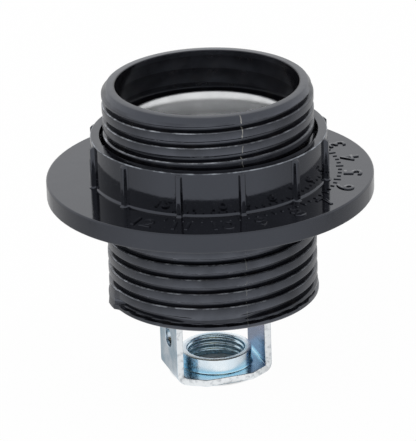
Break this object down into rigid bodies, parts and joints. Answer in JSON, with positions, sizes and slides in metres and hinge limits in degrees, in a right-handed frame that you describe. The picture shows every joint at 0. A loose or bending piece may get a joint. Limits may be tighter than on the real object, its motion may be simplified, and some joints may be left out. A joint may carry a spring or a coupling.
{
  "type": "lamp holder",
  "caption": "Screw lamp holder: black moulded housing threaded outside, shade ring on the thread, metal screw shell, and a folded steel bracket with a tapped cable entry.",
  "frame": {"origin": "centre of the bracket plate's underside, on the holder's axis", "axes": "+Z along the axis towards the mouth, +X towards the bracket leg with no hole, -Y towards the front parting line"},
  "size_m": [0.0552, 0.0552, 0.0521],
  "materials": {
    "housing_moulding": "semi-matt black thermoset moulding",
    "ring_moulding": "satin black moulding",
    "sleeve_metal": "drawn, bright nickel plating",
    "bracket_zinc": "blue-passivated zinc plating",
    "contact_bronze": "rolled spring bronze",
    "terminal_brass": "machined, bright",
    "rivet_steel": "plated steel"
  },
  "bodies": {
    "holder": {"shell": "housing_moulding", "screw_shell": "sleeve_metal", "bracket": "bracket_zinc", "centre_rivet": "rivet_steel", "neutral_rivet": "rivet_steel", "live_terminal": "terminal_brass", "neutral_terminal": "terminal_brass"},
    "ring": {"shade_ring": "ring_moulding"},
    "tongue": {"centre_contact": "contact_bronze"},
    "live_screw": {"live_terminal_screw": "rivet_steel"},
    "neutral_screw": {"neutral_terminal_screw": "rivet_steel"}
  },
  "joints": [
    {"name": "ring_travel", "type": "slide", "parent": "holder", "child": "ring", "axis": [0, 0, 1], "range_m": [-0.0144, 0.017]},
    {"name": "tongue_press", "type": "hinge", "parent": "holder", "child": "tongue", "pos_m": [0, 0.0066, 0.02425], "axis": [1, 0, 0], "range_deg": [0, 8], "stiffness_Nm_per_rad": 0.3},
    {"name": "live_screw_travel", "type": "slide", "parent": "holder", "child": "live_screw", "axis": [0, 0, -1], "range_m": [-0.0013, 0.0012]},
    {"name": "neutral_screw_travel", "type": "slide", "parent": "holder", "child": "neutral_screw", "axis": [0, 0, -1], "range_m": [-0.0013, 0.0012]}
  ]
}
